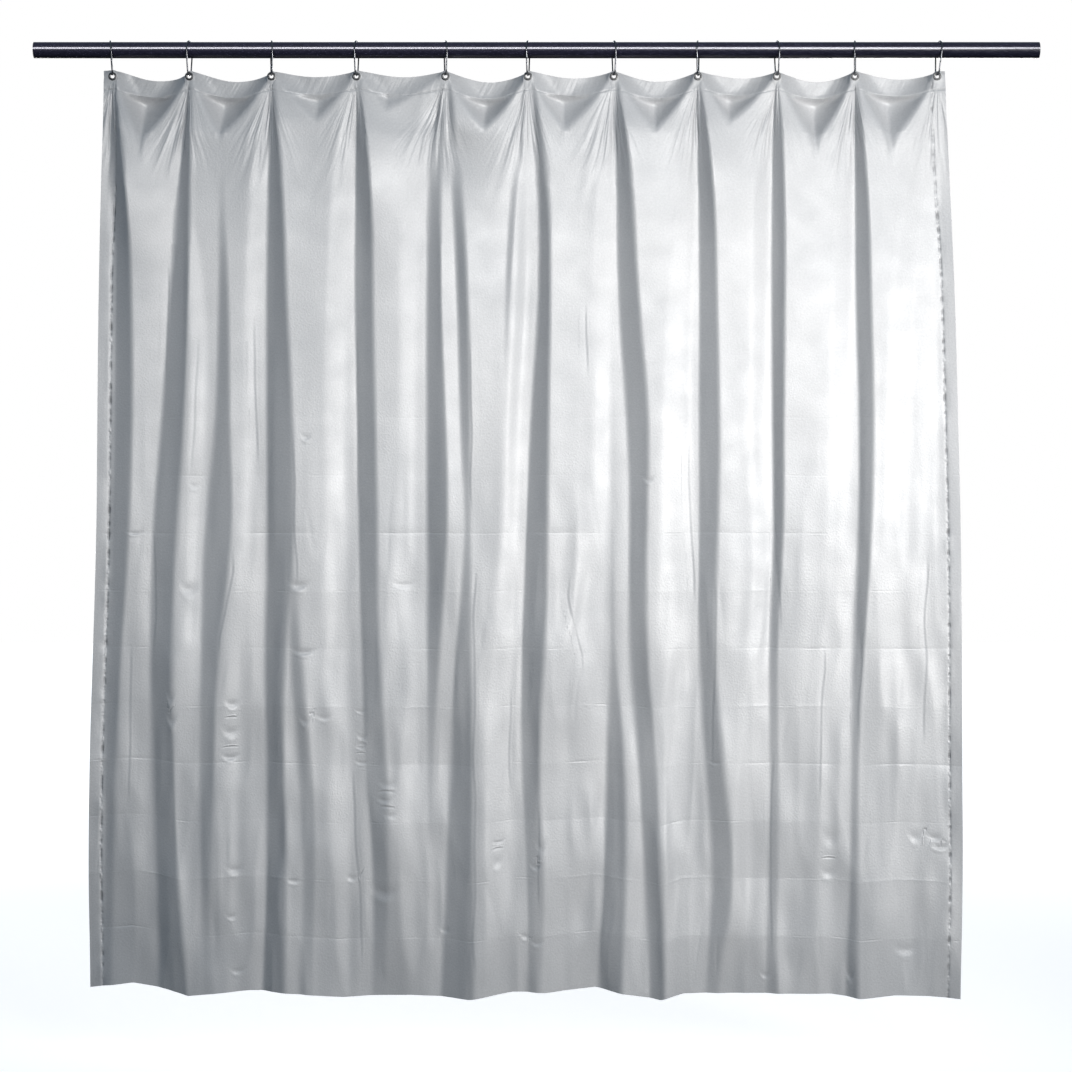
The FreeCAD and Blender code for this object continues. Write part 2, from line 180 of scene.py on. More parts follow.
# Each path below gives x at nine heights: the top edge, every second packing crease and the
# bottom edge.
STATIONS = np.arange(0, 17, 2)
ROUNDING = 0.9  # how many panels above and below a station its turn is rounded over
LEFT_EDGE = [-855, -864, -868, -869, -870, -877, -885, -887, -881]
RIGHT_EDGE = [807, 818, 828, 834, 840, 842, 842, 844, 838]

# The steep side of each fold, which faces left: its steepness, its left and right borders, and
# how much of it there is at each height.
STEEP_SIDES = [
    (1.0, [-842, -836, -836, -836, -840, -852, -855, -855, -855],
     [-838, -808, -800, -798, -804, -820, -832, -836, -840], [1, 1, 1, 1, 1, 0.7, 0.5, 0.4, 0.3]),
    (1.0, [-687, -709, -729, -741, -761, -764, -761, -751, -745],
     [-683, -685, -690, -695, -715, -721, -717, -709, -685], [1, 1, 1, 1, 1, 1, 0.9, 0.8, 1]),
    (0.9, [-622, -622, -628, -632, -660, -662, -666, -662, -656],
     [-620, -620, -608, -608, -598, -630, -638, -642, -650], [0, 0, 1, 1, 1, 1, 0.8, 0.6, 0]),
    (1.0, [-527, -531, -535, -533, -531, -539, -535, -531, -543],
     [-521, -501, -494, -480, -474, -497, -501, -492, -497], [1, 1, 1, 1, 1, 1, 1, 1, 1]),
    (0.7, [-484, -484, -484, -484, -484, -488, -468, -456, -468],
     [-480, -480, -480, -480, -480, -468, -440, -436, -444], [0, 0, 0, 0, 0, 1, 1, 0.8, 0.5]),
    (1.0, [-355, -359, -361, -353, -351, -345, -337, -319, -325],
     [-351, -327, -325, -319, -314, -314, -294, -290, -302], [1, 1, 1, 1, 1, 1, 0.9, 0.5, 0.2]),
    (1.0, [-185, -215, -219, -217, -217, -215, -215, -211, -211],
     [-183, -191, -191, -179, -175, -191, -207, -207, -207], [1, 1, 1, 1, 1, 0.8, 0.3, 0, 0]),
    (1.0, [-177, -165, -155, -151, -139, -135, -135, -135, -135],
     [-173, -147, -135, -130, -135, -134, -134, -134, -134], [1, 1, 1, 1, 0, 0, 0, 0, 0]),
    (1.0, [-139, -139, -139, -139, -139, -159, -171, -177, -191],
     [-135, -135, -135, -135, -132, -130, -128, -126, -124], [0, 0, 0, 0, 0.4, 1, 1, 1, 1]),
    (0.8, [-21, -50, -62, -62, -62, -62, -62, -62, -62],
     [-17, -38, -54, -60, -60, -60, -60, -60, -60], [1, 1, 0.5, 0, 0, 0, 0, 0, 0]),
    (1.0, [-13, 9, 9, -11, -19, -29, -33, -17, -17],
     [-9, 25, 27, 23, 21, 17, -1, 17, 7], [0.8, 0.8, 1, 1, 1, 1, 0.7, 0.7, 0.4]),
    (1.0, [149, 149, 149, 149, 149, 149, 137, 137, 120],
     [151, 151, 151, 151, 151, 153, 175, 177, 165], [0, 0, 0, 0, 0.1, 0.35, 0.8, 1, 1]),
    (1.0, [155, 159, 161, 181, 187, 181, 205, 215, 225],
     [159, 189, 199, 223, 215, 215, 236, 244, 252], [1, 1, 1, 1, 1, 1, 1, 1, 1]),
    (1.0, [317, 320, 323, 323, 323, 319, 335, 351, 333],
     [321, 349, 355, 361, 357, 347, 367, 395, 353], [1, 1, 1, 1, 1, 1, 0.7, 0.8, 0.3]),
    (1.0, [472, 464, 464, 468, 472, 458, 462, 458, 452],
     [476, 488, 488, 486, 488, 472, 478, 476, 474], [1, 1, 1, 1, 1, 0.6, 0.45, 0.45, 0.5]),
    (1.0, [628, 630, 632, 642, 640, 626, 624, 622, 610],
     [632, 654, 660, 666, 662, 644, 634, 634, 634], [1, 1, 1, 1, 1, 0.8, 0.6, 0.6, 0.8]),
    (0.2, [800, 802, 804, 804, 808, 810, 810, 814, 810],
     [810, 826, 832, 838, 842, 844, 844, 844, 840], [0.5, 1, 1, 1, 1, 1, 1, 1, 1]),
]
# Where the long side of a fold turns back more sharply, facing right.
TURNS = [
    (1.5, [-693, -697, -685, -681, -709, -713, -713, -709, -685],
     [-689, -689, -654, -650, -670, -677, -677, -685, -674], [0.3, 0.5, 1, 1, 1, 1, 0.6, 0.3, 0.2]),
    (1.2, [-543, -567, -575, -575, -586, -618, -622, -616, -616],
     [-529, -535, -555, -559, -563, -586, -586, -594, -594], [1, 1, 1, 0.8, 0.6, 1, 0.9, 0.4, 0.2]),
    (1.3, [-379, -408, -412, -418, -416, -416, -399, -393, -399],
     [-357, -369, -377, -381, -377, -373, -369, -369, -379], [1, 0.6, 1, 1, 1, 1, 0.8, 0.6, 0.3]),
    (1.3, [-211, -266, -270, -270, -274, -298, -270, -250, -250],
     [-187, -230, -238, -242, -242, -250, -211, -211, -211], [1, 0.5, 1, 1, 1, 1, 0.5, 0.3, 0.2]),
    (1.5, [-48, -33, -45, -62, -66, -102, -108, -108, -108],
     [-21, 3, -17, -39, -39, -43, -48, -52, -62], [0.6, 1, 1, 1, 1, 1, 0.8, 0.6, 0.3]),
    (1.2, [126, 120, 114, 114, 106, 39, 39, 39, 27],
     [153, 151, 147, 145, 145, 58, 58, 62, 46], [1, 1, 1, 1, 0.4, 1, 0.8, 0.7, 0.3]),
    (1.3, [284, 284, 254, 248, 244, 240, 248, 252, 260],
     [317, 317, 304, 304, 308, 304, 300, 292, 292], [1, 1, 1, 1, 1, 1, 1, 0.8, 0.4]),
    (1.2, [436, 426, 422, 422, 434, 410, 399, 387, 393],
     [470, 458, 454, 450, 462, 450, 434, 418, 412], [1, 1, 1, 1, 0.6, 1, 1, 0.8, 0.3]),
    (1.2, [596, 588, 584, 577, 573, 565, 553, 531, 521],
     [626, 624, 624, 620, 620, 612, 592, 581, 571], [1, 1, 1, 1, 1, 1, 0.8, 0.5, 0.3]),
    (1.2, [759, 729, 695, 691, 687, 679, 683, 675, 660],
     [792, 768, 743, 739, 731, 729, 719, 715, 699], [0.8, 0.8, 1, 1, 1, 1, 1, 0.8, 0.3]),
]
# The valley that runs down from each eyelet.
VALLEYS = [STEEP_SIDES[side][1] for side in (0, 1, 3, 5, 6)]
VALLEYS.append([-17, -13, -15, -17, -21, -31, -35, -19, -19])
VALLEYS += [STEEP_SIDES[side][1] for side in (12, 13, 14, 15)]
VALLEYS.append([792, 794, 794, 794, 794, 794, 790, 786, 778])

# Between two eyelets the hem falls back in a hollow: the place of its lowest point, how deep the
# hollow reaches down and back, and how far the top edge sags.
HOLLOWS = [
    (-778, 131, 42, 15), (-620, 117, 38, 17), (-434, 89, 24, 11), (-296, 65, 16, 12),
    (-98, 101, 40, 18), (52, 109, 26, 13), (234, 105, 38, 18), (383, 93, 38, 11),
    (555, 131, 42, 18), (699, 135, 36, 13),
]


def ease(t):
    """Rises smoothly from 0 to 1 while t does."""
    t = np.clip(t, 0, 1)
    return t * t * (3 - 2 * t)


def at_height(path, panels):
    """A path's value at one height, rounded where it turns at a station."""
    nearby = panels + np.linspace(-ROUNDING, ROUNDING, 7)
    return np.interp(nearby, STATIONS, path).mean()


def valley_places(panels):
    """Where the valleys are at one height; at the top edge they are at the eyelets."""
    down = min(panels / 1.2, 1)
    paths = [at_height(path, panels) for path in VALLEYS]
    return [start + (x - start) * down for start, x in zip(EYELETS, paths)]


def band(x, left, right, softness):
    """1 between two borders and 0 outside them, with soft steps."""
    softness = min(softness, (right - left) / 2 + 0.6)
    return ease((x - left + softness) / (2 * softness)) * ease((right - x + softness) / (2 * softness))


ROW_POINTS = 6000
SETTLED_AT = 3.5  # panels down, where the cloth no longer follows each eyelet's own spare length


def dressed_row(panels):
    """The line of the folds at one height: x, y, and the flat place of each point."""
    x = np.linspace(at_height(LEFT_EDGE, panels), at_height(RIGHT_EDGE, panels), ROW_POINTS)
    step = x[1] - x[0]
    steep = np.zeros_like(x)
    for steepness, left, right, share in STEEP_SIDES:
        amount = steepness * at_height(share, panels)
        borders = at_height(left, panels), at_height(right, panels)
        steep += amount * band(x, *borders, 1.6 + 0.25 * panels)
    gentle = np.ones_like(x)
    for steepness, left, right, share in TURNS:
        amount = steepness * at_height(share, panels)
        borders = at_height(left, panels), at_height(right, panels)
        gentle += amount * band(x, *borders, 6 + 0.6 * panels)
    gentle *= 1 - np.clip(steep, 0, 1)

    valleys = valley_places(panels)
    slackness = FLAT / (x[-1] - x[0])
    settled = ease(panels / SETTLED_AT)
    steepest = 1.6 - 0.6 * ease((panels - 5) / 8)
    # outside the first and last valley the cloth leans only a little
    slope = np.where(x < valleys[0], 0.12, -0.5 * np.clip(steep, 0, 0.5))
    # between two valleys the folds are as steep as the spare cloth there makes them
    for left, right in zip(valleys, valleys[1:]):
        span = (x >= left) & (x < right)
        cloth = PITCH * (1 - settled) + (right - left) * slackness * settled
        shape = gentle * steep[span].sum() / gentle[span].sum() - steep
        low, high = 0.0, steepest
        for _ in range(24):
            middle = (low + high) / 2
            length = np.hypot(1, middle * shape[span]).sum() * step
            low, high = (middle, high) if length < cloth else (low, middle)
        slope[span] = low * shape[span]
    y = np.concatenate([[0], np.cumsum((slope[1:] + slope[:-1]) / 2 * step)])
    y -= np.interp(x, valleys, np.interp(valleys, x, y))
    along = np.concatenate([[0], np.cumsum(np.hypot(np.diff(x), np.diff(y)))])

    # the threads at the valleys are the eyelets' own at the top, and drift further down
    at_valleys = np.interp(valleys, x, along) * FLAT / along[-1]
    own = FROM_SIDE + PITCH * np.arange(11)
    flat_places = np.concatenate([[0], own + (at_valleys - own) * settled, [FLAT]])
    line_places = np.concatenate([[0], np.interp(valleys, x, along), [along[-1]]])
    return x, y, np.interp(along, line_places, flat_places)


def dressed_sheet(across, down):
    """The sheet as it was dressed, on a grid of flat places, in metres."""
    shape = np.zeros((len(down), len(across), 3))
    for row, depth in enumerate(down):
        panels = depth / PANEL
        x, y, flat = dressed_row(panels)
        x, y = np.interp(across, flat, x), np.interp(across, flat, y)
        z = np.full(len(across), TOP_Z - depth)
        valleys = valley_places(panels)
        for number, (tip, reach, back, sag) in enumerate(HOLLOWS):
            left, right = valleys[number : number + 2]
            span = (x >= left) & (x <= right)
            share = (x[span] - left) / (right - left)
            turn = (tip - EYELETS[number]) / (EYELETS[number + 1] - EYELETS[number])
            slant = np.where(share < turn, share / turn, (1 - share) / (1 - turn))
            # a V that is widest at the top edge, with a firm border
            hollow = np.clip(slant**0.8 - depth / reach, 0, 1)
            hollow = back * np.sin(np.pi / 2 * np.clip(hollow * 1.5, 0, 1))
            stiffness = 0.6 if depth <= TOP_HEM else 1.15 - 0.55 * math.exp((TOP_HEM - depth) / 5)
            y[span] = y[span] * ease(depth / 110) + hollow * stiffness
            z[span] -= sag * np.sin(np.pi * share) ** 1.3 * math.exp(-depth / 350)
        shape[row] = np.stack([x, y, z], axis=1) / 1000
    # below the hem neighbouring rows are evened out
    below_hem = len(hem_rows)
    for _ in range(3):
        y_above, y_here = shape[below_hem - 1 : -2, :, 1], shape[below_hem:-1, :, 1]
        y_below = shape[below_hem + 1 :, :, 1]
        shape[below_hem:-1, :, 1] = (y_above + 2 * y_here + y_below) / 4
    return shape


def grid_mesh(name, columns, rows):
    """An even grid, and which column and row each of its corners is in."""
    bm = bmesh.new()
    bmesh.ops.create_grid(bm, x_segments=columns - 1, y_segments=rows - 1, size=0.5)
    mesh = bpy.data.meshes.new(name)
    bm.to_mesh(mesh)
    bm.free()
    corners = np.empty(len(mesh.vertices) * 3)
    mesh.vertices.foreach_get("co", corners)
    corners = corners.reshape(-1, 3) + 0.5
    column = np.rint(corners[:, 0] * (columns - 1)).astype(int)
    row = np.rint((1 - corners[:, 1]) * (rows - 1)).astype(int)
    return mesh, column, row


# The simulated cloth has close columns by the eyelets and close rows in the top hem. It is held
# by its eyelets, knows the flat cut that it came from, and settles for a few frames.
CLOTH_FRAMES = 8
EVENING_PASSES = 14
HELD_RADIUS = 4.5
near_eyelet = [0, 4, 8, 13, 19, 26, 34, 43, 53, 64, 77]
one_span = near_eyelet + [PITCH / 2] + [PITCH - step for step in near_eyelet[:0:-1]]
cloth_columns = [0, FROM_SIDE / 2]
for number in range(10):
    cloth_columns += [FROM_SIDE + number * PITCH + step for step in one_span]
cloth_columns = np.array(cloth_columns + [FLAT - FROM_SIDE, FLAT - FROM_SIDE / 2, FLAT])
hem_rows = np.array([0, 6.35, 12.7, 19, 25.4, 31.7, 38, 44.5, 51.5, 59, 67, 76, 86, 97, 109, 122])
cloth_rows = np.concatenate([hem_rows, np.linspace(136, FLAT, 104)])

hung = dressed_sheet(cloth_columns, cloth_rows)
drop = np.zeros_like(hung)
mesh, column, row = grid_mesh("curtain_cloth", len(cloth_columns), len(cloth_rows))
mesh.vertices.foreach_set("co", hung[row, column].ravel())
mesh.update()
cloth = bpy.data.objects.new("curtain_cloth", mesh)
bpy.context.scene.collection.objects.link(cloth)
cloth.shape_key_add(name="Basis")
as_cut = cloth.shape_key_add(name="as_cut")
flat_shape = np.stack(
    [cloth_columns[column] - FLAT / 2, np.zeros(len(row)), TOP_Z - cloth_rows[row]], axis=1
)
as_cut.data.foreach_set("co", (flat_shape / 1000).ravel())
by_eyelet = np.abs((cloth_columns[column] - FROM_SIDE) % PITCH)
by_eyelet = np.minimum(by_eyelet, PITCH - by_eyelet)
held = np.nonzero((by_eyelet < HELD_RADIUS) & (np.abs(cloth_rows[row] - FROM_TOP) < 0.1))[0]
cloth.vertex_groups.new(name="eyelets").add(held.tolist(), 1.0, "REPLACE")

drape = cloth.modifiers.new("drape", "CLOTH")
drape.settings.vertex_group_mass = "eyelets"
drape.settings.rest_shape_key = as_cut
drape.settings.quality = 6
drape.settings.mass = 0.05
drape.settings.air_damping = 6
drape.settings.tension_stiffness = 40
drape.settings.compression_stiffness = 40
drape.settings.shear_stiffness = 10
drape.settings.bending_stiffness = 2.0
drape.settings.tension_damping = 15
drape.settings.compression_damping = 15
drape.settings.shear_damping = 15
drape.settings.bending_damping = 1.0
drape.collision_settings.use_collision = False
drape.collision_settings.use_self_collision = False
for step in range(1, CLOTH_FRAMES + 1):
    bpy.context.scene.frame_set(step)
settled_mesh = cloth.evaluated_get(bpy.context.evaluated_depsgraph_get()).data
settled = np.empty(len(row) * 3)
settled_mesh.vertices.foreach_get("co", settled)
drop[row, column] = settled.reshape(-1, 3)
drop -= hung
# thick film doesn't buckle as finely as the grid can, so the finest ripples are evened out
for _ in range(EVENING_PASSES):
    drop[:, 1:-1] = (drop[:, :-2] + 2 * drop[:, 1:-1] + drop[:, 2:]) / 4
    drop[1:-1] = (drop[:-2] + 2 * drop[1:-1] + drop[2:]) / 4
bpy.data.objects.remove(cloth)
bpy.data.meshes.remove(mesh)
bpy.context.scene.frame_set(1)


def smooth_between(values, places, wanted):
    """A smooth curve through values, given at places, read at the wanted places."""
    lean = np.gradient(values, places, axis=0)
    after = np.clip(np.searchsorted(places, wanted), 1, len(places) - 1)
    before = after - 1
    width = (places[after] - places[before])[:, None, None]
    t = ((wanted - places[before])[:, None, None]) / width
    return (
        values[before] * (1 + 2 * t) * (1 - t) ** 2
        + values[after] * t**2 * (3 - 2 * t)
        + lean[before] * width * t * (1 - t) ** 2
        - lean[after] * width * t**2 * (1 - t)
    )


# The finished mesh is finer: its columns close in on the eyelets' holes, and its rows on the
# packing creases and the seam of the top hem.
fine_steps = [0, 2.4, 4.8, 8, 11, 14.5, 18.5] + list(np.arange(23, 87, 4.5))
fine_span = fine_steps + [PITCH / 2] + [PITCH - step for step in fine_steps[:0:-1]]
fine_columns = [0, 1, 4, 6]
for number in range(10):
    start = fine_steps[4:0:-1] if number == 0 else []
    fine_columns += [FROM_SIDE - step for step in start if FROM_SIDE - step > 6.1]
    fine_columns += [FROM_SIDE + number * PITCH + step for step in fine_span]
last = FLAT - FROM_SIDE
fine_columns += [last + step for step in (0, 2.4, 4.8, 8, 10, 13)] + [FLAT]
fine_columns = np.array(sorted(set(np.round(fine_columns, 3))))
fine_rows = [0, 1.2, 4.7, 7.9, 10.3, 12.7, 15.1, 17.5, 20.7, 24, 27.5, 31, 34, 36, 37.2, 38]
fine_rows += [38.8, 40, 42, 46, 51, 57, 64, 72, 80, 88, 96, 105]
upper_steps = [-1.6, 0, 1.6, 12, 30, 50, 72, 94]
lower_steps = [-2.6, -1.2, 0, 1.2, 2.6, 8, 18, 28, 38, 48, 58, 68, 78, 88, 98, 106]
for crease in range(1, 16):
    fine_rows += [crease * PANEL + step for step in (upper_steps if crease < 8 else lower_steps)]
fine_rows = np.array(fine_rows + [FLAT - 5, FLAT - 1.5, FLAT])

# the folds stay as sharp as they were dressed, and move as the simulated cloth did
moved = smooth_between(drop.transpose(1, 0, 2), cloth_columns, fine_columns).transpose(1, 0, 2)
surface = smooth_between(dressed_sheet(fine_columns, cloth_rows) + moved, cloth_rows, fine_rows)
U, D = np.meshgrid(fine_columns, fine_rows)


def random_field(seed, cell_u, cell_d):
    """Soft lumps about as wide as the cells, between about -1 and 1."""
    count_u, count_d = int(FLAT / cell_u) + 3, int(FLAT / cell_d) + 3
    lattice = np.random.default_rng(seed).uniform(-1, 1, (count_d, count_u))
    cell_across, cell_down = (U / cell_u).astype(int), (D / cell_d).astype(int)
    part_across, part_down = ease(U / cell_u - cell_across), ease(D / cell_d - cell_down)
    upper = lattice[cell_down, cell_across] * (1 - part_across)
    upper = upper + lattice[cell_down, cell_across + 1] * part_across
    lower = lattice[cell_down + 1, cell_across] * (1 - part_across)
    lower = lower + lattice[cell_down + 1, cell_across + 1] * part_across
    return upper * (1 - part_down) + lower * part_down


def bump_at(distance, width):
    """1 where the distance is 0, falling to 0 a few widths away."""
    return np.exp(-((distance / width) ** 2))


hung_x = surface[..., 0] * 1000
proud = np.zeros_like(U)  # how far each point stands towards the viewer
creasing_and_glints = np.zeros_like(U)  # where the film is creased white, and painted highlights on the seam puckers and dent lips

# Packing creases: most are pressed back, some stand out, and none runs the whole way. The panels
# between them keep slightly different slopes.
CREASES = [
    0.1, -0.1, 0.1, 0.1, -0.15, 0.25, 0.35, 0.9, -0.35, 0.5, -0.45, 0.8, 0.55, -0.6, 0.7,
]
PANEL_TILT = 3.6
patchy = random_field(3, 70, 70)
for crease, depth in enumerate(CREASES, 1):
    line = crease * PANEL + 1.0 * random_field(40 + crease, 130, 400)
    off = D - line
    amount = np.clip(0.25 + patchy * 1.1, 0, 1.2) * depth
    proud += amount * (-0.32 * bump_at(off, 1.6) - 0.25 * np.exp(-np.abs(off) / 8))
    creasing_and_glints = np.maximum(creasing_and_glints, np.clip(np.abs(amount), 0, 1) * bump_at(off, 1.3))
    turned = random_field(60 + crease, 240, 4000)
    proud += PANEL_TILT * ease((crease - 6) / 6) * turned * np.maximum(1 - np.abs(off) / PANEL, 0)

# Broad pleats that fan out from each eyelet, most of them on its left.
PLEAT_HEIGHT = 1.5
PLEAT_REACH = 60.0  # from the eyelet to where they are highest
for number, centre in enumerate(EYELETS):
    aside, below = hung_x - centre, D - FROM_TOP
    reach = np.hypot(aside, below)
    angle = np.degrees(np.arctan2(aside, np.maximum(below, 1e-3)))
    window = bump_at(angle + 8, 17) * (below > 0)
    size = PLEAT_HEIGHT * (reach / PLEAT_REACH) * np.exp(1 - reach / PLEAT_REACH)
    size *= ease((330 - reach) / 200)
    proud += window * size * (np.sin(angle * 0.62 + number * 1.9) + 0.4 * np.sin(angle * 1.1 + number))

# Seams: the top hem is welded 38 mm down and the side hems 25 mm in, and both pucker.
seam = D - TOP_HEM
pucker = random_field(11, 17, 60) + 0.7 * random_field(12, 8, 60)
proud += -0.4 * bump_at(seam, 1.1) + 0.8 * pucker * bump_at(seam, 8)
proud += 0.6 * random_field(13, 22, 40) * ease((TOP_HEM - D) / 10)
# the tops of the puckers along the top seam are painted pale, as highlights
creasing_and_glints = np.maximum(creasing_and_glints, np.clip(pucker, 0, 1) * bump_at(seam, 2))
for place, strength in ((SIDE_HEM, 1.5), (FLAT - SIDE_HEM, 0.9)):
    seam = U - place
    pucker = random_field(21, 60, 19) + 0.8 * random_field(22, 60, 9)
    proud += strength * pucker * bump_at(seam, 8) - 0.9 * strength * bump_at(seam, 2.4)
    # the tops of the puckers along the side seams are painted pale, as highlights
    creasing_and_glints = np.maximum(creasing_and_glints, strength * np.clip(pucker, 0, 1) * bump_at(seam, 3))

# Dents, mostly where a fold meets a packing crease: x, depth, half width, half height, and how
# deep each is. The mesh has their hollows, and the material their sharp lips, from dent_place:
# how far each point is aside of the nearest dent and under it, in half sizes, and that one's depth.
DENTS = [
    (-685, 1027, 12, 12, 2.0), (-468, 1019, 14, 8, 2.5), (-458, 1151, 16, 6, 2.6),
    (-454, 726, 8, 6, 1.6), (-719, 1288, 8, 12, 2.2), (-721, 1244, 6, 12, 1.6),
    (-600, 1256, 10, 8, 2.2), (-602, 1313, 12, 10, 2.0), (-602, 1363, 12, 6, 2.4),
    (-456, 1288, 8, 8, 1.8), (-418, 1280, 12, 6, 1.2), (-347, 1268, 8, 4, 1.4),
    (-345, 1319, 8, 6, 1.6), (-347, 1339, 8, 4, 1.6), (-345, 1369, 10, 4, 1.6),
    (-294, 1412, 12, 8, 1.8), (-298, 1442, 12, 6, 2.0), (-288, 1472, 10, 6, 1.2),
    (-300, 1626, 20, 12, 2.4), (-596, 1588, 12, 8, 1.8), (-602, 1681, 8, 6, 1.4),
    (-590, 1790, 10, 6, 1.4), (-675, 821, 8, 6, 1.2), (-478, 1606, 12, 6, 1.4),
    (-365, 1596, 8, 6, 1.6), (-262, 1017, 16, 6, 1.2), (-76, 1527, 10, 4, 1.4),
    (-78, 1568, 8, 10, 1.3), (9, 1541, 8, 12, 1.4), (-1, 1580, 8, 6, 1.6),
    (-23, 1719, 8, 6, 1.4), (1, 1731, 10, 6, 1.4), (581, 1521, 14, 16, 1.6),
    (577, 1590, 12, 10, 1.4), (353, 1371, 10, 4, 1.0), (452, 1794, 8, 6, 1.4),
    (-181, 1699, 8, 6, 1.2), (788, 1517, 12, 8, 2.6), (798, 1533, 14, 6, 2.2),
    (749, 1517, 10, 10, 1.6), (221, 811, 8, 6, 1.8), (620, 1788, 6, 10, 1.6),
    (729, 1739, 18, 10, 1.2), (-792, 914, 14, 4, 1.4),
]
dent_place = np.full(U.shape + (3,), 9.0)
for x, depth, half_width, half_height, deep in DENTS:
    aside = (hung_x - x) / half_width
    under = (D - depth) / half_height + 0.5 * aside**2
    nearer = np.hypot(aside, under) < np.hypot(dent_place[..., 0], dent_place[..., 1])
    dent_place[nearer] = np.stack([aside, under, np.full_like(U, deep)], axis=2)[nearer]
    # the lower lip of each dent is painted pale, as a highlight
    creasing_and_glints = np.maximum(creasing_and_glints, 0.6 * bump_at(aside, 1) * bump_at(under - 1.3, 1))
    over = (D - depth) / max(half_height, 10)
    pushed_in = bump_at(aside, 1) * (bump_at(over, 1) - 0.45 * bump_at(over - 1.5, 1))
    proud -= 0.45 * deep * pushed_in
dent_place[..., 2] *= ease((3.4 - np.hypot(dent_place[..., 0], dent_place[..., 1])) / 0.9)

# Long thin creases: x where each starts and ends, and from which depth to which. For the
# material each point keeps how far it is from the nearest one and how much of it there is.
LONG_CREASES = [
    (-124, -124, 1023, 1740), (-362, -344, 1423, 1730), (-757, -757, 945, 1121),
    (-602, -628, 988, 1121), (-727, -733, 421, 576), (-561, -553, 527, 732),
    (-358, -358, 564, 812), (-130, -130, 572, 825), (472, 480, 910, 1069), (60, 91, 1038, 1158),
    (636, 636, 1148, 1282), (352, 344, 1042, 1353), (-52, -54, 1264, 1379), (464, 464, 1388, 1707),
    (2, 2, 1496, 1620), (93, 96, 500, 560), (-480, -476, 760, 980), (-668, -680, 560, 760),
    (300, 310, 760, 1010), (566, 560, 1180, 1400), (770, 764, 1000, 1290), (-800, -806, 1180, 1420),
]
crease_off = np.full(U.shape, 60.0)
crease_share = np.zeros(U.shape)
for start_x, end_x, start, end in LONG_CREASES:
    along = np.clip((D - start) / (end - start), 0, 1)
    beyond = np.maximum(np.maximum(start - D, D - end), 0)
    off = hung_x - start_x - (end_x - start_x) * along + 4 * random_field(80, 200, 90)
    share = ease((15 - np.abs(off)) / 6) * ease(1 - beyond / 50)
    crease_off = np.where(share > crease_share, off, crease_off)
    crease_share = np.maximum(crease_share, share)
proud -= 0.45 * crease_share * (bump_at(crease_off, 5) - 0.6 * bump_at(crease_off - 9, 6))

# The film is never quite flat: long soft lumps that grow towards the bottom.
lower = ease((D - 350) / 1300)
proud += (0.12 + 1.1 * lower) * random_field(5, 32, 260) + 0.9 * lower * random_field(6, 24, 70)
proud += 4.2 * lower * random_field(7, 64, 170)
# and here and there a long sharp ridge between two of them
proud += 1.8 * lower * (1 - 2.4 * np.abs(random_field(8, 62, 330)))
proud += 1.0 * lower * (1 - 2.4 * np.abs(random_field(9, 40, 150)))

across_way = np.gradient(surface, axis=1)
down_way = np.gradient(surface, axis=0)
outward = np.cross(across_way, down_way)
outward /= np.linalg.norm(outward, axis=2, keepdims=True)
outward *= -np.sign(outward[..., 1:2].mean())
surface = surface + outward * (proud / 1000)[..., None]

# The bottom edge isn't cut or hung quite level.
EDGE_X = [-879, -798, -729, -685, -567, -497, -381, -248, -132, -45]
EDGE_X += [17, 116, 244, 290, 462, 581, 640, 709, 778, 836]
EDGE_UP = [17, 26, 14, 4, 12, 9, -1, 1, -5, 8, 5, 13, -8, 5, 5, 3, -5, 1, -2, -8]
surface[..., 2] += np.interp(hung_x, EDGE_X, EDGE_UP) / 1000 * ease((D - 900) / 929)

# Each eyelet grips the cloth flat, and its hole is round.
HOLE = 4.8  # radius, a little more than the barrel's
FREE_FROM = 16.0  # from the eyelet's centre
GRIP_FADE = 7.4
for number, centre in enumerate(EYELETS):
    flat_x = U - (FROM_SIDE + number * PITCH)
    flat_d = D - FROM_TOP
    reach = np.hypot(flat_x, flat_d)
    gripped = np.stack([centre + flat_x, np.zeros_like(U), EYELET_Z - flat_d], axis=2) / 1000
    grip = ease((FREE_FROM - reach) / GRIP_FADE)[..., None]
    surface = surface * (1 - grip) + gripped * grip


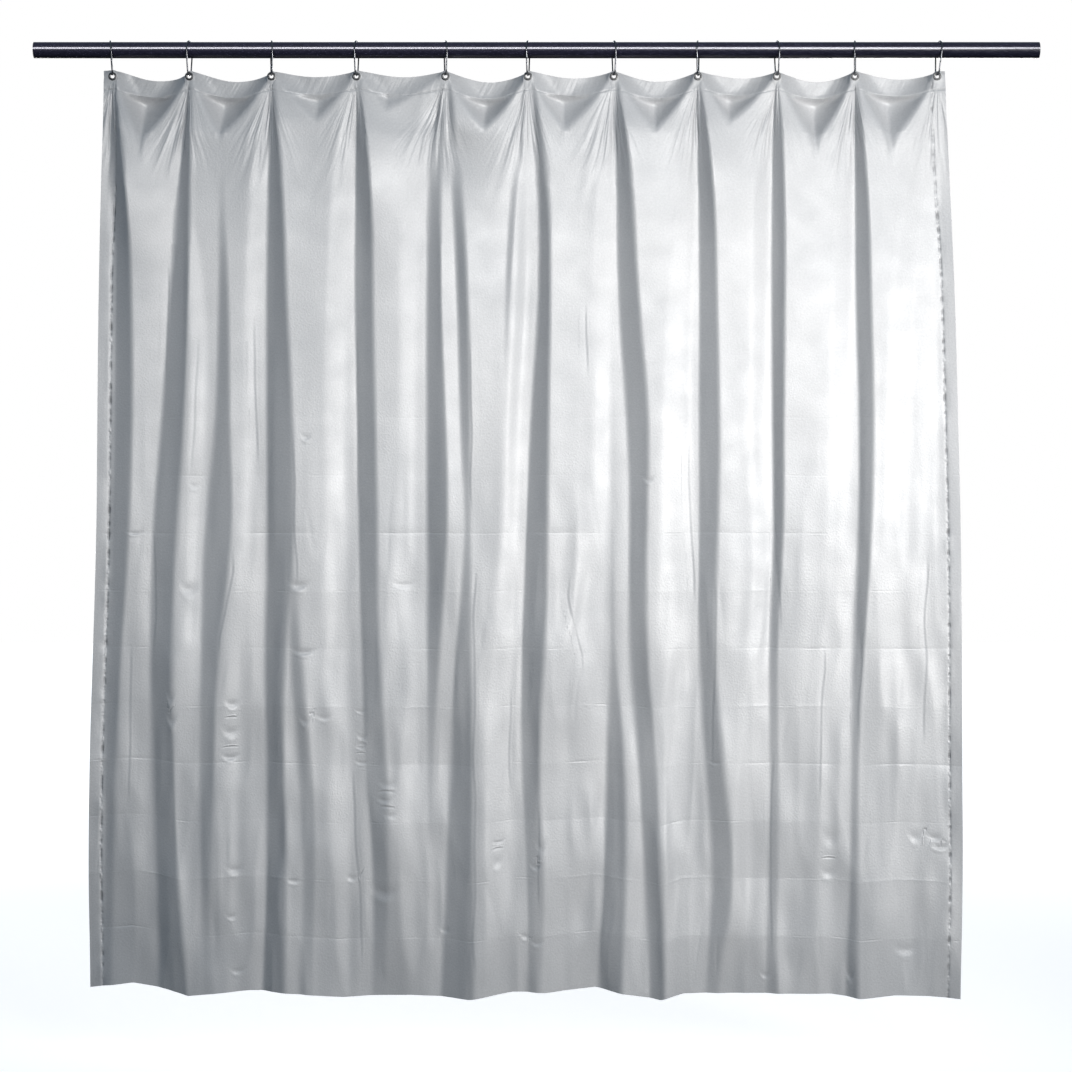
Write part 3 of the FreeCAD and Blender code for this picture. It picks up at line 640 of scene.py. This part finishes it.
def cloth_piece(name, shape, columns, rows, holed):
    """A piece of the sheet between two columns and two rows, with its flat place as its UVs."""
    first_column, last_column = columns
    first_row, last_row = rows
    part = shape[first_row : last_row + 1, first_column : last_column + 1].copy()
    flat_u = U[first_row : last_row + 1, first_column : last_column + 1]
    flat_d = D[first_row : last_row + 1, first_column : last_column + 1]
    cut = np.zeros(flat_u.shape, bool)
    if holed:
        for number, centre in enumerate(EYELETS):
            flat_x = flat_u - (FROM_SIDE + number * PITCH)
            down = flat_d - FROM_TOP
            square = np.maximum(np.abs(flat_x), np.abs(down))
            rim = (square > HOLE - 0.1) & (square < HOLE + 0.1)
            reach = np.maximum(np.hypot(flat_x, down), 1)
            round_x, round_d = flat_x / reach * HOLE, down / reach * HOLE
            part[rim, 0] = (centre + round_x[rim]) / 1000
            part[rim, 2] = (EYELET_Z - round_d[rim]) / 1000
            cut |= square < HOLE - 0.1
    mesh, column, row = grid_mesh(name, part.shape[1], part.shape[0])
    mesh.vertices.foreach_set("co", part[row, column].ravel())
    kept = {"creasing_and_glints": creasing_and_glints, "crease_off": crease_off, "crease_share": crease_share}
    for kept_as, values in kept.items():
        values = values[first_row : last_row + 1, first_column : last_column + 1]
        attribute = mesh.attributes.new(kept_as, "FLOAT", "POINT")
        attribute.data.foreach_set("value", values[row, column])
    dents = dent_place[first_row : last_row + 1, first_column : last_column + 1]
    dents_kept = mesh.attributes.new("dent_place", "FLOAT_VECTOR", "POINT")
    dents_kept.data.foreach_set("vector", dents[row, column].ravel())
    loops = np.empty(len(mesh.loops), int)
    mesh.loops.foreach_get("vertex_index", loops)
    places = np.stack([flat_u[row, column] / FLAT, 1 - flat_d[row, column] / FLAT], axis=1)
    uv = mesh.uv_layers.new(name="flat")
    uv.data.foreach_set("uv", places[loops].ravel())
    bm = bmesh.new()
    bm.from_mesh(mesh)
    bm.verts.ensure_lookup_table()
    inside = [bm.verts[int(i)] for i in np.nonzero(cut[row, column])[0]]
    bmesh.ops.delete(bm, geom=inside, context="VERTS")
    for face in bm.faces:
        face.smooth = True
    bm.normal_update()
    if sum(face.normal.y for face in bm.faces) > 0:
        bmesh.ops.reverse_faces(bm, faces=bm.faces[:])
    bm.to_mesh(mesh)
    bm.free()
    piece = bpy.data.objects.new(name, mesh)
    bpy.context.scene.collection.objects.link(piece)
    return piece


last_column, last_row = len(fine_columns) - 1, len(fine_rows) - 1
curtain = cloth_piece("curtain_vinyl_sheet", surface, (0, last_column), (0, last_row), True)

vinyl = bpy.data.materials.new("silver_vinyl")
vinyl.use_nodes = True
nodes, links = vinyl.node_tree.nodes, vinyl.node_tree.links
shader = nodes["Principled BSDF"]
shader.inputs["IOR"].default_value = 1.5
shader.inputs["Metallic"].default_value = 0.14
shader.inputs["Coat Weight"].default_value = 0.10
shader.inputs["Coat Roughness"].default_value = 0.24
flat_place = nodes.new("ShaderNodeUVMap")
flat_place.uv_map = "flat"


def worked_out(operation, *values):
    """A Math node on sockets and numbers."""
    node = nodes.new("ShaderNodeMath")
    node.operation = operation
    for socket, value in zip(node.inputs, values):
        if isinstance(value, (int, float)):
            socket.default_value = value
        else:
            links.new(value, socket)
    return node.outputs["Value"]


def times(first, second):
    return worked_out("MULTIPLY", first, second)


def plus(first, second):
    return worked_out("ADD", first, second)


def minus(first, second):
    return worked_out("SUBTRACT", first, second)


def noise_at(x, y, detail):
    """Noise over two sockets, between -1 and 1."""
    place = nodes.new("ShaderNodeCombineXYZ")
    links.new(x, place.inputs["X"])
    links.new(y, place.inputs["Y"])
    noise = nodes.new("ShaderNodeTexNoise")
    noise.inputs["Scale"].default_value = 1.0
    noise.inputs["Detail"].default_value = detail
    links.new(place.outputs["Vector"], noise.inputs["Vector"])
    return worked_out("MULTIPLY_ADD", noise.outputs["Fac"], 3.2, -1.6)


def hump(value, width):
    """1 where the value is 0, falling to 0 a few widths away."""
    share = worked_out("DIVIDE", value, width)
    return worked_out("EXPONENT", times(times(share, share), -1.0))


def rise(value, start, end):
    """0 before the start and 1 after the end."""
    ramp = nodes.new("ShaderNodeMapRange")
    ramp.interpolation_type = "SMOOTHSTEP"
    ramp.inputs["From Min"].default_value = start
    ramp.inputs["From Max"].default_value = end
    links.new(value, ramp.inputs["Value"])
    return ramp.outputs["Result"]


flat_axes = nodes.new("ShaderNodeSeparateXYZ")
links.new(flat_place.outputs["UV"], flat_axes.inputs["Vector"])
across = times(flat_axes.outputs["X"], FLAT)
down = worked_out("MULTIPLY_ADD", flat_axes.outputs["Y"], -FLAT, FLAT)

# colour: pearly silver with slow cloudy changes, paler where it is creased, and painted highlights
# where the seams pucker and on the lips of dents
cloudy = nodes.new("ShaderNodeTexNoise")
cloudy.inputs["Scale"].default_value = 7.0
cloudy.inputs["Detail"].default_value = 6.0
links.new(flat_place.outputs["UV"], cloudy.inputs["Vector"])
silver = nodes.new("ShaderNodeValToRGB")
silver.color_ramp.elements[0].position = 0.3
silver.color_ramp.elements[0].color = (0.60, 0.605, 0.615, 1)
silver.color_ramp.elements[1].position = 0.7
silver.color_ramp.elements[1].color = (0.66, 0.66, 0.665, 1)
links.new(cloudy.outputs["Fac"], silver.inputs["Fac"])
crease_and_glint_map = nodes.new("ShaderNodeAttribute")
crease_and_glint_map.attribute_name = "creasing_and_glints"
paler_with_glints = nodes.new("ShaderNodeMixRGB")
paler_with_glints.inputs["Color2"].default_value = (0.80, 0.81, 0.82, 1)
links.new(times(crease_and_glint_map.outputs["Fac"], 0.30), paler_with_glints.inputs["Fac"])
links.new(silver.outputs["Color"], paler_with_glints.inputs["Color1"])

# gloss: a satin film with smeared patches
smears = nodes.new("ShaderNodeTexNoise")
smears.inputs["Scale"].default_value = 30.0
smears.inputs["Detail"].default_value = 5.0
links.new(flat_place.outputs["UV"], smears.inputs["Vector"])
satin = nodes.new("ShaderNodeMapRange")
satin.inputs["From Min"].default_value = 0.3
satin.inputs["From Max"].default_value = 0.7
satin.inputs["To Min"].default_value = 0.43
satin.inputs["To Max"].default_value = 0.53
links.new(smears.outputs["Fac"], satin.inputs["Value"])
links.new(satin.outputs["Result"], shader.inputs["Roughness"])

# relief, in millimetres: fine pleats that fan out below each eyelet
pitches = worked_out("MULTIPLY_ADD", across, 1 / PITCH, -FROM_SIDE / PITCH)
which = worked_out("ROUND", pitches)
aside = times(minus(pitches, which), PITCH)
below = minus(down, FROM_TOP)
angle = worked_out("ARCTAN2", aside, below)
reach = worked_out("SQRT", plus(times(aside, aside), times(below, below)))
pleats = noise_at(
    times(angle, 13.0),
    worked_out("MULTIPLY_ADD", which, 7.3, times(reach, 0.008)),
    1.0,
)
leftward = hump(plus(angle, 0.07), 0.36)
fan = times(leftward, minus(rise(reach, 8, 16), rise(reach, 50, 230)))
pleat_relief = times(times(pleats, fan), times(reach, 0.021))

# the top hem: small slanting pleats, and the groove of its seam
slant = worked_out("MULTIPLY_ADD", down, 0.05, times(across, 0.12))
hem_pleats = noise_at(slant, times(down, 0.012), 1.0)
in_hem = minus(1.0, rise(down, TOP_HEM - 3, TOP_HEM))
hem_relief = times(times(hem_pleats, in_hem), 0.30)
seam_noise = noise_at(times(across, 0.07), times(down, 0.02), 2.0)
groove = times(hump(minus(down, TOP_HEM + 0.8), 1.6), -0.45)
groove_relief = times(groove, worked_out("MULTIPLY_ADD", seam_noise, 0.8, 0.9))

# the side hems: a groove that is pulled in here and there
edge = worked_out("MINIMUM", across, minus(FLAT, across))
side_noise = noise_at(times(across, 0.03), times(down, 0.05), 2.0)
side_groove = times(hump(minus(edge, SIDE_HEM), 2.2), -1.3)
side_relief = times(side_groove, worked_out("MULTIPLY_ADD", side_noise, 1.9, 0.6))

# painted shade in the groove of the side seams, deepest where the groove is, and a fine mottle all
# over
mottle = nodes.new("ShaderNodeTexNoise")
mottle.inputs["Scale"].default_value = 420.0
mottle.inputs["Detail"].default_value = 2.0
links.new(flat_place.outputs["UV"], mottle.inputs["Vector"])
tone = worked_out("MULTIPLY_ADD", mottle.outputs["Fac"], 0.22, 0.89)
painted_seam_shade = times(hump(minus(edge, SIDE_HEM + 1), 2.4), rise(side_noise, -0.2, 0.6))
tone = minus(tone, times(painted_seam_shade, 0.45))
toned = nodes.new("ShaderNodeVectorMath")
toned.operation = "SCALE"
links.new(paler_with_glints.outputs["Color"], toned.inputs[0])
links.new(tone, toned.inputs["Scale"])
links.new(toned.outputs["Vector"], shader.inputs["Base Color"])

# the packing creases, sharper than the mesh
panels = times(down, 1 / PANEL)
crease_number = worked_out("ROUND", panels)
off_crease = times(minus(panels, crease_number), PANEL)
patches = noise_at(times(across, 0.016), times(crease_number, 5.1), 3.0)
pressed = times(rise(patches, -0.1, 0.8), rise(down, 350, 1050))
crease_line = times(hump(off_crease, 1.4), -0.32)
crease_lip = times(hump(minus(off_crease, 2.8), 1.6), 0.16)
crease_relief = times(plus(crease_line, crease_lip), pressed)

# the embossed grain of the film
grain = nodes.new("ShaderNodeTexNoise")
grain.inputs["Scale"].default_value = 480.0
grain.inputs["Detail"].default_value = 3.0
links.new(flat_place.outputs["UV"], grain.inputs["Vector"])
grain_relief = times(grain.outputs["Fac"], 0.38)

# dents and long creases, from where the mesh says they are
dent = nodes.new("ShaderNodeAttribute")
dent.attribute_name = "dent_place"
dent_axes = nodes.new("ShaderNodeSeparateXYZ")
links.new(dent.outputs["Vector"], dent_axes.inputs["Vector"])
dent_aside = hump(dent_axes.outputs["X"], 1.0)
dent_lip = times(hump(minus(dent_axes.outputs["Y"], 1.2), 0.8), 0.45)
dent_pushed = times(hump(dent_axes.outputs["Y"], 0.9), -0.6)
dent_shape = times(plus(dent_lip, dent_pushed), dent_aside)
dent_relief = times(dent_shape, dent_axes.outputs["Z"])
long_crease = nodes.new("ShaderNodeAttribute")
long_crease.attribute_name = "crease_off"
crease_side = times(hump(long_crease.outputs["Fac"], 2.6), -0.20)
crease_other = times(hump(minus(long_crease.outputs["Fac"], 4.5), 2.6), 0.30)
crease_amount = nodes.new("ShaderNodeAttribute")
crease_amount.attribute_name = "crease_share"
long_relief = times(plus(crease_side, crease_other), crease_amount.outputs["Fac"])

# scattered fine wrinkles, longer than wide, which thicken towards the bottom
wrinkles = noise_at(times(across, 0.020), times(down, 0.0036), 0.5)
wrinkle_patches = noise_at(times(across, 0.009), times(down, 0.006), 1.0)
scattered = times(rise(wrinkle_patches, 0.0, 0.7), rise(down, 150, 1400))
wrinkle_relief = times(times(hump(wrinkles, 0.20), scattered), -0.55)

height = pleat_relief
for part in (
    hem_relief, groove_relief, side_relief, crease_relief, grain_relief, dent_relief, long_relief,
    wrinkle_relief,
):
    height = plus(height, part)
relief = nodes.new("ShaderNodeBump")
relief.inputs["Strength"].default_value = 1.0
relief.inputs["Distance"].default_value = 0.001
links.new(height, relief.inputs["Height"])
links.new(relief.outputs["Normal"], shader.inputs["Normal"])
curtain.data.materials.append(vinyl)


# ---------------------------------------------------------------------------------------------
# Hems: the sheet's top and side edges folded back behind it and welded down. Each is a second
# layer of the same vinyl, joined to the sheet along the fold.

FILM = 0.25  # thickness of the vinyl
LAYER_GAP = 0.3

behind = surface - outward * (LAYER_GAP / 1000)
behind[0] = surface[0] + np.array([0, 0.1, 0.15]) / 1000
top_hem_row = int(np.argmin(np.abs(fine_rows - TOP_HEM)))
left_hem_column = int(np.argmin(np.abs(fine_columns - SIDE_HEM)))
right_hem_column = int(np.argmin(np.abs(fine_columns - (FLAT - SIDE_HEM))))
hems = [
    cloth_piece("top_hem_layer", behind, (0, last_column), (0, top_hem_row), True),
    cloth_piece("left_hem_layer", behind, (0, left_hem_column), (top_hem_row + 1, last_row), False),
    cloth_piece(
        "right_hem_layer", behind, (right_hem_column, last_column), (top_hem_row + 1, last_row), False
    ),
]
for hem in hems:
    bm = bmesh.new()
    bm.from_mesh(hem.data)
    bmesh.ops.solidify(bm, geom=bm.faces[:], thickness=FILM / 1000)
    bm.to_mesh(hem.data)
    bm.free()
    hem.data.materials.append(vinyl)

# The sheet and hems ride with the curtain body, and the plain parts they stand for are hidden.
for piece, node in zip([curtain] + hems, ("curtain_sheet", "top_hem", "left_hem", "right_hem")):
    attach(piece, "curtain")
    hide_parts(node)
    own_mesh(piece)


# ---------------------------------------------------------------------------------------------
# Studio: a pale floor below the curtain, white surroundings, and large soft spotlights: one low
# at the right that rakes across the folds, one higher near the camera, and two behind.

FLOOR_Z = -2.02
bm = bmesh.new()
bmesh.ops.create_grid(bm, x_segments=1, y_segments=1, size=20)
bmesh.ops.translate(bm, verts=bm.verts[:], vec=(0, 0, FLOOR_Z))
floor_mesh = bpy.data.meshes.new("studio_floor")
bm.to_mesh(floor_mesh)
bm.free()
floor = bpy.data.objects.new("studio_floor", floor_mesh)
bpy.context.scene.collection.objects.link(floor)
paper = bpy.data.materials.new("studio_paper")
paper.use_nodes = True
nodes, links = paper.node_tree.nodes, paper.node_tree.links
shader = nodes["Principled BSDF"]
shader.inputs["Roughness"].default_value = 0.9
shader.inputs["Emission Color"].default_value = (1, 1, 1, 1)
place = nodes.new("ShaderNodeTexCoord")
away = nodes.new("ShaderNodeVectorMath")
away.operation = "LENGTH"
links.new(place.outputs["Object"], away.inputs[0])
glow = nodes.new("ShaderNodeMapRange")
glow.inputs["From Min"].default_value = 2.0
glow.inputs["From Max"].default_value = 5.0
glow.inputs["To Min"].default_value = 0.60
glow.inputs["To Max"].default_value = 1.0
links.new(away.outputs["Value"], glow.inputs["Value"])
seen = nodes.new("ShaderNodeLightPath")
shown = nodes.new("ShaderNodeMath")
shown.operation = "MULTIPLY"
links.new(seen.outputs["Is Camera Ray"], shown.inputs[0])
links.new(glow.outputs["Result"], shown.inputs[1])
links.new(shown.outputs["Value"], shader.inputs["Emission Strength"])
# the paper throws little light back up at the curtain
tone = nodes.new("ShaderNodeMixRGB")
tone.inputs["Color1"].default_value = (0.12, 0.12, 0.12, 1)
tone.inputs["Color2"].default_value = (0.88, 0.88, 0.88, 1)
links.new(seen.outputs["Is Camera Ray"], tone.inputs["Fac"])
links.new(tone.outputs["Color"], shader.inputs["Base Color"])
floor_mesh.materials.append(paper)

world = bpy.data.worlds.new("studio_surroundings")
bpy.context.scene.world = world
world.use_nodes = True
nodes, links = world.node_tree.nodes, world.node_tree.links
surroundings = nodes["Background"]
surroundings.inputs["Color"].default_value = (0.66, 0.825, 1.0, 1)
surroundings.inputs["Strength"].default_value = 0.29
backdrop = nodes.new("ShaderNodeBackground")
backdrop.inputs["Color"].default_value = (1, 1, 1, 1)
backdrop.inputs["Strength"].default_value = 1.0
ray = nodes.new("ShaderNodeLightPath")
either = nodes.new("ShaderNodeMixShader")
links.new(ray.outputs["Is Camera Ray"], either.inputs["Fac"])
links.new(surroundings.outputs["Background"], either.inputs[1])
links.new(backdrop.outputs["Background"], either.inputs[2])
links.new(either.outputs["Shader"], nodes["World Output"].inputs["Surface"])


WARM_WHITE = (1.0, 0.985, 0.965)


def soft_spot(name, place, aim, cone, power):
    """A spotlight with a wide soft edge, its cone in degrees and its power in watts."""
    light = bpy.data.lights.new(name, "SPOT")
    light.spot_size = math.radians(cone)
    light.spot_blend = 1.0
    light.shadow_soft_size = 0.5
    light.energy = power
    light.color = WARM_WHITE
    lamp = bpy.data.objects.new(name, light)
    bpy.context.scene.collection.objects.link(lamp)
    lamp.location = place
    lamp.rotation_mode = "QUATERNION"
    lamp.rotation_quaternion = (Vector(aim) - Vector(place)).to_track_quat("-Z", "Y")


soft_spot("key", (2.6, -3.0, -0.7), (0.5, 0, -0.85), 56, 352)
soft_spot("front", (1.2, -4.2, 0.5), (0.10, 0, -0.5), 45, 300)

# Two more behind the curtain, for its back; the film lets none of their light through.
soft_spot("back_left", (-2.2, 3.6, -0.9), (-0.2, 0, -0.9), 54, 330)
soft_spot("back_right", (1.4, 4.0, -0.6), (0.1, 0, -0.9), 54, 170)

# A long strip that only the rod catches.
STRIP_MIDDLE = -0.2  # along the rod
strip_light = bpy.data.lights.new("rod_strip", "AREA")
strip_light.shape = "RECTANGLE"
strip_light.size = 4.0
strip_light.size_y = 0.55
strip_light.energy = 480
strip_light.color = (0.93, 0.92, 1.0)
strip = bpy.data.objects.new("rod_strip", strip_light)
bpy.context.scene.collection.objects.link(strip)
strip.location = (STRIP_MIDDLE, -3.0, 1.1)
strip.rotation_mode = "QUATERNION"
strip.rotation_quaternion = (Vector((STRIP_MIDDLE, 0, 0)) - strip.location).to_track_quat("-Z", "Y")
rod_only = bpy.data.collections.new("rod_only")
rod_only.objects.link(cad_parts["rod"])
strip.light_linking.receiver_collection = rod_only

# The camera is level, as high as the middle of the curtain and about five metres off.
camera = bpy.data.cameras.new("camera")
camera.lens = 85
camera.sensor_width = 36
viewpoint = bpy.data.objects.new("camera", camera)
bpy.context.scene.collection.objects.link(viewpoint)
viewpoint.location = (-0.001, -5.007, -0.961)
viewpoint.rotation_euler = (math.radians(90), 0, 0)
bpy.context.scene.camera = viewpoint
bpy.context.scene.view_settings.view_transform = "Standard"
